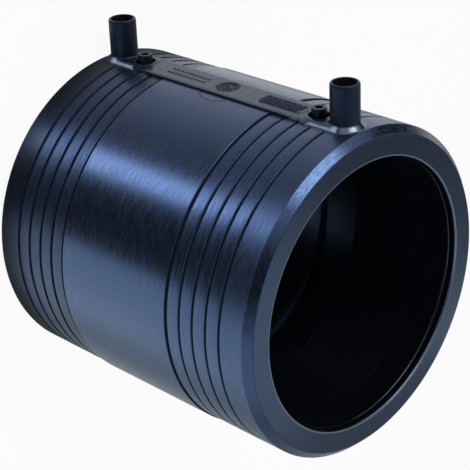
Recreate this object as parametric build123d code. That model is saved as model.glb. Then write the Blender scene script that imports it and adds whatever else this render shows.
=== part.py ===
from build123d import *
from math import radians, tan
import os

# Electrofusion coupler for 110 mm polyethylene pipe.
# The coupler stands on one end face: the pipe axis is +Z, the bottom end face lies at z = 0 and the
# origin is on the pipe axis. The terminals, the indicators and the raised strip face -Y.
# All sizes are in millimetres.

# ---- sockets -------------------------------------------------------------------------------------
PIPE_DIAMETER = 110.0        # outside diameter of the pipe that slides in
PIPE_CLEARANCE = 0.8         # on the diameter
SOCKET_DEPTH = 71.0          # from the mouth to the centre stop
MOUTH_CHAMFER = 0.6          # lead-in at each mouth
STOP_WIDTH = 2.0             # centre stop ring, along the axis
STOP_HEIGHT = 2.0            # centre stop ring, above the socket wall

# ---- barrel --------------------------------------------------------------------------------------
WALL = 12.6                  # mid barrel, outside to socket wall
BAND_DROP = 0.5              # the grooved bands lie this much below the mid barrel
END_CHAMFER = 3.0            # outer edge of both end faces
GROOVE_START = 14.4          # end face to the first groove
GROOVE_PITCH = 6.9
GROOVE_COUNT = 5             # grooves at each end
GROOVE_WIDTH = 0.9
GROOVE_DEPTH = 0.7

# ---- heating wire --------------------------------------------------------------------------------
COIL_START = 15.0            # end face to the first turn's recess
COIL_TURNS = 8
COIL_PITCH = 4.5
WIRE_HEIGHT = 0.45           # section of the wire, across the wall
WIRE_WIDTH = 0.8             # section of the wire, along the axis
WIRE_COVER = 0.05            # the wire lies this much behind the socket wall
COIL_MARGIN = 0.6            # free recess beyond the first and the last turn

# ---- raised strip and pads -----------------------------------------------------------------------
STRIP_WIDTH = 15.0
STRIP_HEIGHT = 0.6           # flat top above the mid barrel
PAD_HEIGHT = 1.0             # flat top above the mid barrel
PAD_WIDTH = 14.0             # flat top, around the barrel
PAD_NEAR_END = 6.2           # end face to the flat top's near edge
PAD_FAR_END = 28.4           # end face to the flat top's far edge
PAD_CORNER = 5.0
PAD_SIDE_ANGLE = 47.5        # degrees that the sides of the pads lean out
ROOT_DEPTH = 3.5             # strip, pads and towers reach this far below the mid barrel
GATE_DIAMETER = 10.0         # scar of the injection gate, at mid length
GATE_DEPTH = 0.4
SPRUE_DIAMETER = 3.2
SPRUE_HEIGHT = 0.3           # stub left standing in the scar

# ---- terminals -----------------------------------------------------------------------------------
TERMINAL_INSET = 11.2        # end face to the terminal's axis
SHROUD_TOP = 85.0            # pipe axis to the shroud's rim
SHROUD_DIAMETER = 11.5
SHROUD_BORE = 9.2
SHROUD_DEPTH = 12.0          # rim to the floor inside
SHROUD_EDGE = 0.35           # rounding of the rim
FOOT_DIAMETER = 13.4         # conical foot on the pad
FOOT_HEIGHT = 2.2
PIN_DIAMETER = 4.0
PIN_RECESS = 3.2             # rim to the pin's tip
PIN_TIP = 0.5                # chamfer of the tip
PIN_COLLAR_DIAMETER = 5.6
PIN_COLLAR_HEIGHT = 1.2
PIN_SHANK = 11.0             # moulded-in length below the shroud's floor
PIN_TAIL_DIAMETER = 2.0      # thin tail that reaches the wire
PIN_RING_DIAMETER = 5.0      # anchor ring on the shank
PIN_RING_WIDTH = 1.0

# ---- fusion indicators ---------------------------------------------------------------------------
INDICATOR_INSET = 24.0       # end face to the indicator's axis
WELL_DIAMETER = 7.4
WELL_DEPTH = 1.2             # below the pad's top
STUB_DIAMETER = 5.0
STUB_HEIGHT = 3.0            # above the pad's top
INDICATOR_DIAMETER = 3.0
INDICATOR_CLEARANCE = 0.1    # on the diameter
INDICATOR_RECESS = 0.8       # stub's rim down to the indicator's tip
INDICATOR_FLOOR = 2.4        # wall left between its blind hole and the coil recess

# ---- sizes that follow ---------------------------------------------------------------------------
bore_r = (PIPE_DIAMETER + PIPE_CLEARANCE) / 2
barrel_r = bore_r + WALL
band_r = barrel_r - BAND_DROP
length = 2 * SOCKET_DEPTH + STOP_WIDTH
middle = length / 2
recess_r = bore_r + WIRE_COVER + WIRE_HEIGHT
wire_r = recess_r - WIRE_HEIGHT / 2
coil_length = COIL_TURNS * COIL_PITCH
coil_first = COIL_START + COIL_MARGIN + WIRE_WIDTH / 2
coil_last = coil_first + coil_length
recess_end = coil_last + WIRE_WIDTH / 2 + COIL_MARGIN
strip_top = barrel_r + STRIP_HEIGHT
pad_top = barrel_r + PAD_HEIGHT
pad_root = barrel_r - ROOT_DEPTH
shroud_floor = SHROUD_TOP - SHROUD_DEPTH
shank_end = shroud_floor - PIN_SHANK
stub_top = pad_top + STUB_HEIGHT
indicator_floor = recess_r + INDICATOR_FLOOR

# local x runs along +X, local y up the pipe axis and local z out of the barrel towards -Y
FRONT = Plane(origin=(0, 0, 0), x_dir=(1, 0, 0), z_dir=(0, -1, 0))


def front(radius, height=0.0):
    """The plane across the barrel's front at a radius, with its origin at a height on the axis."""
    return FRONT.offset(radius) * Pos(0, height, 0)


def peg(diameter, inner, outer, height):
    """A round bar along -Y, from one radius to another, at a height on the pipe axis."""
    return front(inner, height) * extrude(Circle(diameter / 2), outer - inner)


def both_ends(piece):
    """The piece at the bottom end and its mirror image at the top end."""
    return piece, mirror(piece, Plane.XY.offset(middle))


# ---- coupler body --------------------------------------------------------------------------------
def outer_outline():
    """Points (radius, height) of the outside, from the bottom end face up to mid length."""
    points = [(band_r - END_CHAMFER, 0), (band_r, END_CHAMFER)]
    for index in range(GROOVE_COUNT):
        height = GROOVE_START + index * GROOVE_PITCH
        last = index == GROOVE_COUNT - 1
        points += [
            (band_r, height - GROOVE_WIDTH / 2),
            (band_r - GROOVE_DEPTH, height),
            (barrel_r if last else band_r, height + GROOVE_WIDTH / 2),
        ]
    return points


def inner_outline():
    """Points (radius, height) of the socket, from the mouth up to the stop ring."""
    return [
        (bore_r + MOUTH_CHAMFER, 0),
        (bore_r, MOUTH_CHAMFER),
        (bore_r, COIL_START),
        (recess_r, COIL_START),
        (recess_r, recess_end),
        (bore_r, recess_end),
        (bore_r, SOCKET_DEPTH),
        (bore_r - STOP_HEIGHT, SOCKET_DEPTH),
    ]


def barrel():
    lower = list(reversed(outer_outline())) + inner_outline()
    upper = [(radius, length - height) for radius, height in reversed(lower)]
    outline = Plane.XZ * make_face(Polyline(*lower, *upper, close=True))
    return revolve(outline, Axis.Z)


def strip():
    """Flat-topped strip along the barrel from one indicator to the other."""
    run = length - 2 * INDICATOR_INSET
    return front(pad_root, middle) * extrude(Rectangle(STRIP_WIDTH, run), strip_top - pad_root)


def pad():
    """Sloped pad that carries a terminal and its indicator."""
    run = PAD_FAR_END - PAD_NEAR_END
    centre = (PAD_FAR_END + PAD_NEAR_END) / 2
    lean = (pad_top - pad_root) * tan(radians(PAD_SIDE_ANGLE))
    root = front(pad_root, centre) * RectangleRounded(
        PAD_WIDTH + 2 * lean, run + 2 * lean, PAD_CORNER + lean
    )
    top = front(pad_top, centre) * RectangleRounded(PAD_WIDTH, run, PAD_CORNER)
    return loft([root, top])


def shroud():
    """Hollow terminal tower with its conical foot and rounded rim."""
    tower = peg(SHROUD_DIAMETER, pad_root, SHROUD_TOP, TERMINAL_INSET)
    tower = fillet(tower.edges().sort_by(Axis.Y)[0], SHROUD_EDGE)
    foot = front(pad_root, TERMINAL_INSET) * extrude(
        Circle(FOOT_DIAMETER / 2), pad_top - pad_root
    )
    cone = front(pad_top + FOOT_HEIGHT / 2, TERMINAL_INSET) * Cone(
        FOOT_DIAMETER / 2, SHROUD_DIAMETER / 2, FOOT_HEIGHT
    )
    return tower + foot + cone


def pin_seat():
    """Space that the terminal pin fills in the body, with the open inside of the shroud."""
    inside = peg(SHROUD_BORE, shroud_floor, SHROUD_TOP, TERMINAL_INSET)
    return inside + pin_shank()


def lead_slot():
    """Short channel in the socket wall between a pin's tail and the coil's recess."""
    run = COIL_START - TERMINAL_INSET + WIRE_WIDTH
    centre = (COIL_START + TERMINAL_INSET - WIRE_WIDTH) / 2
    depth = recess_r - bore_r + STOP_HEIGHT
    return front(bore_r - STOP_HEIGHT, centre) * extrude(Rectangle(WIRE_WIDTH, run), depth)


def bridge_slot():
    """Channel across the centre, from one coil's recess to the other."""
    run = length - 2 * recess_end
    depth = recess_r - bore_r + STOP_HEIGHT / 2
    return front(bore_r - STOP_HEIGHT / 2, middle) * extrude(Rectangle(WIRE_WIDTH, run), depth)


def well():
    """Ring-shaped well round the indicator's stub."""
    ring = Circle(WELL_DIAMETER / 2) - Circle(STUB_DIAMETER / 2)
    floor = pad_top - WELL_DEPTH
    return front(floor, INDICATOR_INSET) * extrude(ring, WELL_DEPTH + STUB_HEIGHT)


def gate_scar():
    """Shallow round scar with the sprue's stub left in its middle."""
    floor = strip_top - GATE_DEPTH
    disc = peg(GATE_DIAMETER, floor, strip_top, middle)
    return disc - peg(SPRUE_DIAMETER, floor, floor + SPRUE_HEIGHT, middle)


def coupler_body():
    body = barrel() + strip()
    for piece in both_ends(pad() + shroud()):
        body += piece
    stub = peg(STUB_DIAMETER, pad_root, stub_top, INDICATOR_INSET)
    for piece in both_ends(stub):
        body += piece
    for piece in both_ends(well()):
        body -= piece
    for piece in both_ends(peg(INDICATOR_DIAMETER, indicator_floor, stub_top, INDICATOR_INSET)):
        body -= piece
    for piece in both_ends(pin_seat() + lead_slot()):
        body -= piece
    body -= bridge_slot()
    body -= gate_scar()
    return body


# ---- terminal pins -------------------------------------------------------------------------------
def pin_shank():
    """The part of a terminal pin that the body is moulded round."""
    shank = peg(PIN_DIAMETER, shank_end, shroud_floor, TERMINAL_INSET)
    ring_foot = (shank_end + shroud_floor - PIN_RING_WIDTH) / 2
    ring = peg(PIN_RING_DIAMETER, ring_foot, ring_foot + PIN_RING_WIDTH, TERMINAL_INSET)
    tail = peg(PIN_TAIL_DIAMETER, recess_r, shank_end, TERMINAL_INSET)
    return shank + ring + tail


def terminal_pin():
    tip_r = SHROUD_TOP - PIN_RECESS
    contact = peg(PIN_DIAMETER, shroud_floor, tip_r, TERMINAL_INSET)
    contact = chamfer(contact.edges().sort_by(Axis.Y)[0], PIN_TIP)
    collar = peg(
        PIN_COLLAR_DIAMETER, shroud_floor, shroud_floor + PIN_COLLAR_HEIGHT, TERMINAL_INSET
    )
    return contact + collar + pin_shank()


# ---- fusion indicators ---------------------------------------------------------------------------
def indicator_pin():
    tip_r = stub_top - INDICATOR_RECESS
    pin = peg(INDICATOR_DIAMETER - INDICATOR_CLEARANCE, indicator_floor, tip_r, INDICATOR_INSET)
    return fillet(pin.edges().sort_by(Axis.Y)[0], INDICATOR_DIAMETER / 4)


# ---- heating wire --------------------------------------------------------------------------------
def coil():
    """One wound zone. Its first and last turn end at the front, where the leads and the bridge are."""
    path = Location((0, 0, coil_first), (0, 0, -90)) * Helix(COIL_PITCH, coil_length, wire_r)
    section = Plane(origin=path @ 0, x_dir=(0, 1, 0), z_dir=path % 0) * Rectangle(WIRE_HEIGHT, WIRE_WIDTH)
    return sweep(section, path, is_frenet=True)


def lead(start, end):
    """Straight run of the wire at the front, along the pipe axis."""
    return front(recess_r - WIRE_HEIGHT, (start + end) / 2) * extrude(
        Rectangle(WIRE_WIDTH, end - start), WIRE_HEIGHT
    )


def heating_wire():
    """One continuous wire. Both zones are wound the same way round."""
    lower = coil()
    upper = Pos(0, 0, length - coil_first - coil_last) * coil()
    lead_low, lead_high = both_ends(lead(TERMINAL_INSET - WIRE_WIDTH, coil_first + WIRE_WIDTH / 2))
    bridge = lead(coil_last - WIRE_WIDTH / 2, length - coil_last + WIRE_WIDTH / 2)
    return lower + upper + lead_low + lead_high + bridge


# ---- files ---------------------------------------------------------------------------------------
os.makedirs("parts", exist_ok=True)
nodes = {"coupler_body": coupler_body(), "heating_wire": heating_wire()}
nodes["terminal_pin_bottom"], nodes["terminal_pin_top"] = both_ends(terminal_pin())
nodes["indicator_pin_bottom"], nodes["indicator_pin_top"] = both_ends(indicator_pin())
for name, piece in nodes.items():
    export_step(piece, f"parts/{name}.step")
    print(name, len(piece.solids()), "solid", round(piece.volume, 1), "mm3")
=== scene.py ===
# %% [markdown]
# # An electrofusion coupler in moulded black polyethylene
# The coupler is a thick tube that welds two plastic pipes together. A wire wound inside each
# socket melts the wall when current flows through the two terminals on the front.
# The exact model is already packed as a frame. This lesson loads it, builds the surfaces that are
# seen close up as finer meshes, and gives every piece its finish.

# %% Load the frame
import math

import bpy
import numpy as np
from mathutils import Matrix, Vector


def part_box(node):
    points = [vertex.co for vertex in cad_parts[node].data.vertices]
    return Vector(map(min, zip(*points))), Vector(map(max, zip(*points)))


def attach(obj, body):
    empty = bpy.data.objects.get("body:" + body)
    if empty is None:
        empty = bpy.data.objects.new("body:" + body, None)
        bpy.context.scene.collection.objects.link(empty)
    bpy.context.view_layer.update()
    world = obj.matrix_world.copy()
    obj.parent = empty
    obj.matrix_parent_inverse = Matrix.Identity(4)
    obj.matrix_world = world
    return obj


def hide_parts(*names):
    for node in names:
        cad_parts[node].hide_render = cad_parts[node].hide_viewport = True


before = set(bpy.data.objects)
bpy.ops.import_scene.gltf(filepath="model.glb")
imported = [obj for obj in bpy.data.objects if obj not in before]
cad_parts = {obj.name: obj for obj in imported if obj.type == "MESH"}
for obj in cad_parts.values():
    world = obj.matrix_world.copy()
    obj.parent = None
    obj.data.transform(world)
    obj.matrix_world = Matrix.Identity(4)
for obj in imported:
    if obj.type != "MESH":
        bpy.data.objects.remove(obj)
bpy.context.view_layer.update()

print("pieces in the frame:", sorted(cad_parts))

# %% [markdown]
# ## Sizes
# The frame is in metres and the drawing of a moulded part is in millimetres, so the lesson works in
# millimetres and scales once, when a mesh is made. Overall sizes are read from the frame, which
# keeps this file right when the exact model changes. The pipe axis is Z and the terminals face -Y.

# %% Sizes of the moulding, in millimetres
MM = 0.001
body_low, body_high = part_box("coupler_body")
pin_low, pin_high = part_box("terminal_pin_bottom")
indicator_low, indicator_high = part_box("indicator_pin_bottom")
wire_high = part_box("heating_wire")[1]

LENGTH = body_high.z / MM                                   # along the pipe axis
MIDDLE = LENGTH / 2
BARREL_R = body_high.x / MM                                 # mid barrel
SHROUD_TOP = -body_low.y / MM                               # pipe axis to the rim of a shroud
TERMINAL_INSET = (pin_low.z + pin_high.z) / 2 / MM          # end face to a terminal's axis
INDICATOR_INSET = (indicator_low.z + indicator_high.z) / 2 / MM
PIN_TIP = -pin_low.y / MM
PIN_FOOT = -pin_high.y / MM
INDICATOR_TIP = -indicator_low.y / MM
INDICATOR_FLOOR = -indicator_high.y / MM
RECESS_R = wire_high.x / MM                                 # bottom of the wire's recess
print(f"length {LENGTH:.1f}, barrel radius {BARREL_R:.1f}")
print(f"terminals {TERMINAL_INSET:.1f} from each end")

# %% Wall, grooves and sockets
BAND_DROP = 0.5          # the grooved bands lie this much below the mid barrel
BAND_R = BARREL_R - BAND_DROP
END_CHAMFER = 3.0
LOWER_CHAMFER_RUN = 3.8  # the lower chamfer is flatter: it runs this far inwards
RECESS_DEPTH = 0.5
BORE_R = RECESS_R - RECESS_DEPTH
MOUTH_CHAMFER = 0.8
RECESS_START = 15.0      # end face to the wire's recess
RECESS_END = 53.0
STOP_HEIGHT = 2.0        # centre stop ring, above the socket wall
STOP_HALF = 1.0          # half its width
GROOVE_START = 14.4
GROOVE_PITCH = 6.9
GROOVE_COUNT = 5
GROOVE_WIDTH = 1.3
LIP_WIDTH = 0.35         # bevel on the inner lip of a groove
LIP_DROP = 0.1
GROOVE_DEPTH = 0.7
BAND_CROWN = 0.07        # a band swells this much between two grooves
TOOL_MARK = 0.05         # fine line in the middle of a band
print(f"bore radius {BORE_R:.1f}, so the wall is {BARREL_R - BORE_R:.1f} thick")

# %% [markdown]
# ## The camera
# A camera in Blender looks along its own -Z axis, with +Y up in the picture. The coupler stands on
# one end while the view is taken as if it lay on its side, so the camera is rolled far over. Three
# unit vectors (right, up and backwards) make the rotation, and the place comes from the target.

# %% Place the camera
PICTURE_RIGHT = Vector((-0.69717, 0.03896, 0.71585))
PICTURE_UP = Vector((-0.34082, -0.89648, -0.28314))
VIEW_FORWARD = Vector((-0.63071, 0.44137, -0.63828))
CAMERA_PLACE = Vector((0.392946, -0.278621, 0.470076))
LENS = 115.336           # millimetres
SENSOR = 36.0            # width of the film, in millimetres
NEAREST = 0.01           # metres; nothing closer than this is drawn

camera_data = bpy.data.cameras.new("camera")
camera_data.lens = LENS
camera_data.sensor_width = SENSOR
camera_data.clip_start = NEAREST
camera = bpy.data.objects.new("camera", camera_data)
bpy.context.scene.collection.objects.link(camera)
turn = Matrix((PICTURE_RIGHT, PICTURE_UP, -VIEW_FORWARD)).transposed()
camera.matrix_world = Matrix.Translation(CAMERA_PLACE) @ turn.to_4x4()
bpy.context.scene.camera = camera
print("camera distance from the axis:", round(CAMERA_PLACE.length, 3), "m")

# %% [markdown]
# ## Two small tools
# Every mesh here is worked out as lists of corners and faces. `make_piece` turns such lists into a
# Blender object, scales them to metres and lets it ride on the frame's one body. `soft_corners`
# rounds an outline: a moulded or turned edge is never perfectly sharp, and the small round is what
# catches the light.

# %% Make a piece from corners and faces
def make_piece(name, corners, faces, material_slot):
    """A smooth-shaded mesh object from corners in millimetres."""
    mesh = bpy.data.meshes.new(name)
    mesh.from_pydata([tuple(MM * value for value in corner) for corner in corners], [], faces)
    mesh.update()
    mesh.polygons.foreach_set("use_smooth", [True] * len(mesh.polygons))
    piece = bpy.data.objects.new(name, mesh)
    bpy.context.scene.collection.objects.link(piece)
    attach(piece, "root")
    print(name, "has", len(mesh.polygons), "faces")
    return piece

# %% Round the corners of an outline
MOST_REACH = 0.45        # a curve takes at most this share of a side


def soft_corners(outline, reach, steps=3):
    """The outline with every inner corner replaced by a short curve that starts at reach."""
    points = [np.array(point, float) for point in outline]
    soft = [points[0]]
    for before, corner, after in zip(points[:-2], points[1:-1], points[2:]):
        start, end = [
            corner + side * min(reach / np.linalg.norm(side), MOST_REACH)
            for side in (before - corner, after - corner)
        ]
        for share in np.linspace(0, 1, steps + 1):
            soft.append((1 - share) ** 2 * start + 2 * share * (1 - share) * corner + share**2 * end)
    soft.append(points[-1])
    return soft

# %% [markdown]
# ## The outside wall as one row of radii
# Along the pipe axis the barrel is a list of (height, radius) rows. Ten grooves cut it into bands.
# A groove here comes from a cosine, raised to a power that keeps its floor round and its lips
# crisp, like a groove left by a rounded tool. A narrow bevel on the inner lip catches a line of
# light. Interpolating the same rows later keeps the fine front surface and the coarser barrel
# exactly in line.

# %% Rows of one groove and one band
GROOVE_STEPS = 9
GROOVE_POWER = 0.6       # a smaller power gives a flatter floor and steeper lips
MARK_HALF = 0.22         # half the width of a tool mark
CROWN_SHARE = 0.8        # share of a band's swelling that is left a fifth of the pitch away


def groove_rows(height, wall_above):
    """Rows down one side of a groove and up the other."""
    bottom = BAND_R - GROOVE_DEPTH
    rows = []
    for share in np.linspace(-1, 1, GROOVE_STEPS):
        lip = BAND_R if share < 0 else wall_above - LIP_DROP
        closed = 1 - abs(math.cos(math.pi / 2 * share)) ** GROOVE_POWER
        rows.append((height + share * GROOVE_WIDTH / 2, bottom + closed * (lip - bottom)))
    return rows + [(height + GROOVE_WIDTH / 2 + LIP_WIDTH, wall_above)]


def band_rows(height):
    """Rows of the slightly crowned band above a groove, with a fine tool mark in its middle."""
    middle = height + GROOVE_PITCH / 2
    crown = BAND_R + BAND_CROWN
    shoulder = BAND_R + CROWN_SHARE * BAND_CROWN
    return [
        (middle - GROOVE_PITCH / 5, shoulder),
        (middle - MARK_HALF, crown),
        (middle, crown - TOOL_MARK),
        (middle + MARK_HALF, crown),
        (middle + GROOVE_PITCH / 5, shoulder),
    ]


print("rows for one groove:", GROOVE_STEPS + 1)

# %% Rows of the whole outside wall
WINDOW_START = 3.2       # just above the end chamfer
FIRST_ROW = 1.2          # the plain end band stops this far before the first groove
MIDDLE_ROWS = (20.0, 8.0)       # rows of the plain barrel, from mid length


def lower_wall():
    """Rows from the lower chamfer up to mid length."""
    rows = [(WINDOW_START, BAND_R), (GROOVE_START - FIRST_ROW, BAND_R)]
    for index in range(GROOVE_COUNT):
        height = GROOVE_START + index * GROOVE_PITCH
        last = index == GROOVE_COUNT - 1
        rows += groove_rows(height, BARREL_R if last else BAND_R)
        if not last:
            rows += band_rows(height)
    return rows + [(MIDDLE - distance, BARREL_R) for distance in MIDDLE_ROWS]


wall_rows = lower_wall()
wall_rows += [(LENGTH - height, radius) for height, radius in reversed(wall_rows)]
wall_heights = np.array([height for height, radius in wall_rows])
wall_radii = np.array([radius for height, radius in wall_rows])


def wall(height):
    """Radius of the outside wall at a height."""
    return np.interp(height, wall_heights, wall_radii)


print(len(wall_rows), "rows from", wall_heights[0], "to", round(wall_heights[-1], 1))

# %% [markdown]
# ## The front as a height field
# The strip, the two pads, the gate scar and the small marks are all raised or sunk from the barrel
# towards -Y. That makes them a height field: for each place (x, height) there is one distance from
# the pipe axis. Writing it as a formula is shorter than joining solids, and a soft maximum of two
# surfaces gives the fillet that a mould has where they meet.

# %% Blending helpers
def ease(share):
    """0 below 0, 1 above 1 and a smooth ramp between."""
    share = np.clip(share, 0, 1)
    return share * share * (3 - 2 * share)


def soft_max(first, second, blend):
    """The larger of two surfaces, rounded where they cross."""
    return (first + second + np.sqrt((first - second) ** 2 + blend**2)) / 2


def box_distance(x, y, half_x, half_y, corner):
    """Distance outside a rounded rectangle, negative inside."""
    over_x = np.abs(x) - half_x + corner
    over_y = np.abs(y) - half_y + corner
    outside = np.hypot(np.maximum(over_x, 0), np.maximum(over_y, 0))
    return outside + np.minimum(np.maximum(over_x, over_y), 0) - corner


def disc(distance, radius, edge):
    """1 inside a radius and 0 outside, with a soft edge."""
    return ease((radius - distance) / edge + 0.5)

# %% Strip, pads and feet
STRIP_TOP = BARREL_R + 0.6
STRIP_HALF = 7.5
STRIP_EDGE = 0.16        # the strip's side is a step this wide
BEVEL_WIDTH = 1.2        # gentle slope along each long edge of the strip
BEVEL_DROP = 0.2
PAD_TOP = BARREL_R + 1.0
PAD_HALF = 6.1
PAD_NEAR_END = TERMINAL_INSET - PAD_HALF    # the pad is round about the shroud
PAD_FAR_END = INDICATOR_INSET + 5.3
PAD_FALL = math.tan(math.radians(48))       # drop of the sloped side for each step outwards
PAD_EDGE = 0.3
PAD_FILLET = 0.25
GROOVE_STOP = 1.8        # the grooves run out this close to a pad
GROOVE_RUN_OUT = 1.2     # over this length
SHROUD_R = 5.75
FOOT_TOP = PAD_TOP + 0.6


def strip(x):
    """Height of the strip: flat, with a gentle bevel along both edges."""
    out = np.clip((np.abs(x) - STRIP_HALF + BEVEL_WIDTH) / BEVEL_WIDTH, 0, 1)
    return STRIP_TOP - BEVEL_DROP * out


def pad_gap(x, near):
    """Distance outside the flat top of a pad. near is the distance from the closer end face."""
    centre = (PAD_NEAR_END + PAD_FAR_END) / 2
    half = (PAD_FAR_END - PAD_NEAR_END) / 2
    return box_distance(x, near - centre, PAD_HALF, half, PAD_HALF)


def pads(x, near):
    """Height of the sloped pads."""
    gap = pad_gap(x, near)
    beyond = (gap + np.sqrt(gap**2 + PAD_EDGE**2)) / 2
    return PAD_TOP - beyond * PAD_FALL


def feet(x, near):
    """Height of the conical foot round each shroud. It carries on the slope of the pad."""
    out = np.hypot(x, near - TERMINAL_INSET) - SHROUD_R
    return FOOT_TOP - out * PAD_FALL


print(f"a pad is {PAD_FAR_END - PAD_NEAR_END:.1f} long and {2 * PAD_HALF:.1f} wide on top")

# %% [markdown]
# ## Small marks on the strip
# A moulding tells how it was made. The gate is where the melt came in, and the sprue tore off there and
# left a rough round scar. The plate and the two rows of studs stand in for lettering and stay bare. All
# of them are added to the same height field, so that the mesh needs no extra pieces.

# %% Gate scar
GATE_R = 5.0
GATE_DEPTH = 0.5
GATE_EDGE = 0.5          # width of the slope at the scar's rim
SPRUE_R = 1.6
SPRUE_RISE = 0.3
TORN = 0.34              # roughness of the torn plastic
WITNESS_R = 11.5         # faint ring that the gate's insert leaves
WITNESS_RISE = 0.14
WITNESS_HALF = 0.22
LINE_EDGE = 0.3          # width of the slope beside a fine line or rib


def gate(x, height):
    """Torn scar of the injection gate, with the stub of the sprue and the ring round it.
    Four slanted waves with no common period make the tear look irregular."""
    distance = np.hypot(x, height - MIDDLE)
    wave = np.sin(2.5 * x + 1.1 * height) * np.sin(2.3 * height - 1.4 * x)
    wave += 0.5 * np.sin(4.3 * x - 2.7 * height) * np.cos(3.9 * height + 2.3 * x)
    scar = (TORN * wave - GATE_DEPTH) * disc(distance, GATE_R, GATE_EDGE)
    scar += SPRUE_RISE * disc(distance, SPRUE_R, GATE_EDGE)
    return scar + WITNESS_RISE * disc(np.abs(distance - WITNESS_R), WITNESS_HALF, LINE_EDGE)

# %% Bare plate and studs
PANEL_CENTRE = LENGTH - 42.0
PANEL_HALF = 10.5        # a bare name plate, filled with slanted ribs
PANEL_HALF_WIDTH = 3.2
PANEL_CORNER = 1.2
PANEL_RISE = 0.5
FRAME_HALF = 0.3         # half the width of the frame line
RIB_PITCH = 2.6
RIB_HALF = 0.45
RIB_INSET = 0.9          # the ribs stop this far inside the frame
RIB_SLANT = 0.7


def plate(x, height):
    """Raised frame with slanted ribs in it."""
    gap = box_distance(x, height - PANEL_CENTRE, PANEL_HALF_WIDTH, PANEL_HALF, PANEL_CORNER)
    frame_line = disc(np.abs(gap), FRAME_HALF, LINE_EDGE)
    along = np.abs(np.mod(height + RIB_SLANT * x, RIB_PITCH) - RIB_PITCH / 2)
    ribs = disc(along, RIB_HALF, LINE_EDGE) * disc(gap, -RIB_INSET, LINE_EDGE)
    return PANEL_RISE * np.maximum(frame_line, ribs)


STUD_START = LENGTH - 105.0
STUD_END = LENGTH - 83.0
STUD_PITCH = 2.2
STUD_ROW = 1.7           # the two rows of studs lie this far from the middle of the strip
STUD_HALF_LENGTH = 0.55
STUD_HALF_WIDTH = 0.75
STUD_EDGE = 0.25
STUD_RISE = 0.35


def studs(x, height):
    """Two rows of plain square studs."""
    along = np.abs(np.mod(height - STUD_START, STUD_PITCH) - STUD_PITCH / 2)
    across = np.abs(np.abs(x) - STUD_ROW)
    rise = disc(along, STUD_HALF_LENGTH, STUD_EDGE) * disc(across, STUD_HALF_WIDTH, STUD_EDGE)
    return STUD_RISE * rise * (height > STUD_START) * (height < STUD_END)


print("studs in a row:", round((STUD_END - STUD_START) / STUD_PITCH))

# %% The whole front surface
def front_reach(x, height):
    """Distance of the front surface from the pipe axis, towards -Y."""
    near = np.minimum(height, LENGTH - height)
    grooved = ease((pad_gap(x, near) - GROOVE_STOP) / GROOVE_RUN_OUT)
    radius = np.maximum(wall(height), BAND_R) * (1 - grooved) + wall(height) * grooved
    surface = np.sqrt(radius**2 - x**2)
    on_strip = ease((STRIP_HALF - np.abs(x)) / STRIP_EDGE + 0.5)
    on_strip *= ease((near - INDICATOR_INSET) / STRIP_EDGE)
    surface += (strip(x) - surface) * on_strip
    surface += gate(x, height) + plate(x, height) + studs(x, height)
    surface = soft_max(surface, pads(x, near), PAD_FILLET)
    return soft_max(surface, feet(x, near), PAD_FILLET)


print("front surface over a pad:", round(float(front_reach(np.array(0.0), np.array(20.0))), 2), "mm")

# %% [markdown]
# ## One closed mesh for the moulded body
# The body is one piece of plastic, so it is one closed mesh. It has three kinds of area. The barrel,
# end faces and bore turn round the pipe axis on a coarse grid. A window in that grid holds a fine
# grid for the front. Round each shroud and each indicator the fine grid has a square hole, and rings
# lead from the square to a circle and on up the tower, so that the circles stay round.

# %% Corners and faces of the body
corners = []
faces = []


def add_corners(new):
    """Adds corners and returns their numbers."""
    first = len(corners)
    corners.extend(new)
    return list(range(first, len(corners)))


def join_loops(outer, inner):
    """Quads between two closed loops with equally many corners."""
    for step in range(len(outer)):
        after = (step + 1) % len(outer)
        faces.append((outer[step], outer[after], inner[after], inner[step]))


def zip_lines(first, second, place):
    """Triangles between two lines of corners that run the same way. place gives the order."""
    a = 0
    b = 0
    while a < len(first) - 1 or b < len(second) - 1:
        a_next = place(first[a + 1]) if a < len(first) - 1 else math.inf
        b_next = place(second[b + 1]) if b < len(second) - 1 else math.inf
        if a_next <= b_next:
            faces.append((first[a], first[a + 1], second[b]))
            a += 1
        else:
            faces.append((first[a], second[b + 1], second[b]))
            b += 1

# %% Outline of the ends and the bore
RIM_OUT = 0.3            # the mouth's chamfer bends this far outside the bore
RIM_DOWN = 0.15          # and this far below the end face
BEAD_PLACE = 3.8         # a fine bead in the bore, from the end face
BEAD_RISE = 0.25
BEAD_FOOT = 0.4          # half the bead's width at its foot
BEAD_CREST = 0.1         # and at its crest
RECESS_SLOPE = 0.1       # the recess's end walls lean by this much


def half_bore(chamfer_run):
    """(radius, height) from an end's outer chamfer, over its face, up to the stop ring."""
    mouth = [
        (BAND_R, WINDOW_START),
        (BAND_R, END_CHAMFER),
        (BAND_R - chamfer_run, 0),
        (BORE_R + MOUTH_CHAMFER, 0),
        (BORE_R + RIM_OUT, RIM_DOWN),
        (BORE_R, MOUTH_CHAMFER),
        (BORE_R, BEAD_PLACE - BEAD_FOOT),
        (BORE_R - BEAD_RISE, BEAD_PLACE - BEAD_CREST),
        (BORE_R - BEAD_RISE, BEAD_PLACE + BEAD_CREST),
        (BORE_R, BEAD_PLACE + BEAD_FOOT),
        (BORE_R, RECESS_START),
        (RECESS_R, RECESS_START + RECESS_SLOPE),
        (RECESS_R, RECESS_END - RECESS_SLOPE),
        (BORE_R, RECESS_END),
        (BORE_R, MIDDLE - STOP_HALF),
        (BORE_R - STOP_HEIGHT, MIDDLE - STOP_HALF),
        (BORE_R - STOP_HEIGHT, MIDDLE),
    ]
    return soft_corners(mouth, reach=0.22)


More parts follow.
